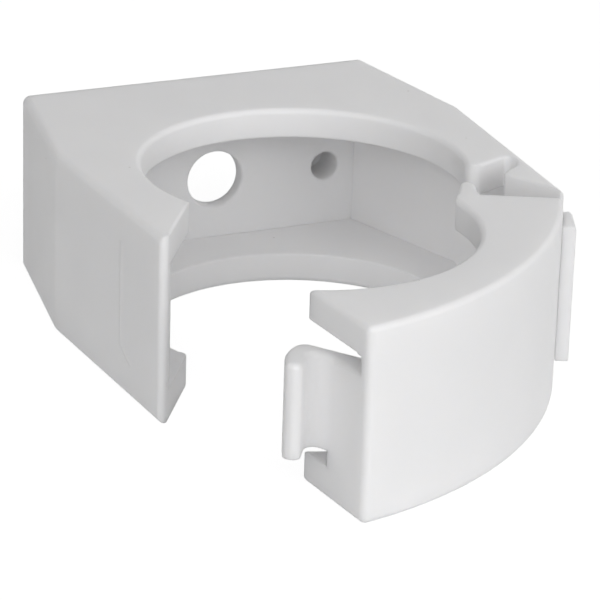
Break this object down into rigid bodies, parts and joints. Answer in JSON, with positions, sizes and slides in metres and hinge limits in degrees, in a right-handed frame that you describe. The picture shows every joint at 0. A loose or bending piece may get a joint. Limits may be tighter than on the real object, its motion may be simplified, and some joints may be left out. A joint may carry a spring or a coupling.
{
  "type": "pipe clip",
  "caption": "Hinged plastic pipe clip: a screw-fixed base with a round pipe seat, a lid on a film hinge, and a snap hook that locks the lid across the mouth.",
  "frame": {"origin": "on the pipe's axis, at mid height of the clip", "axes": "+Z along the pipe, +Y towards the wall that the base is screwed to, the mouth on the -Y side"},
  "size_m": [0.039, 0.0605, 0.0168],
  "materials": {
    "moulding": "satin white moulded polypropylene"
  },
  "bodies": {
    "base": {"base": "moulding", "hinge_strap": "moulding"},
    "lid": {"lid": "moulding"}
  },
  "joints": [
    {"name": "lid_hinge", "type": "hinge", "parent": "base", "child": "lid", "pos_m": [0.019, -0.0158, 0], "axis": [0, 0, 1], "range_deg": [-36, 64], "deforming": ["hinge_strap"]}
  ]
}
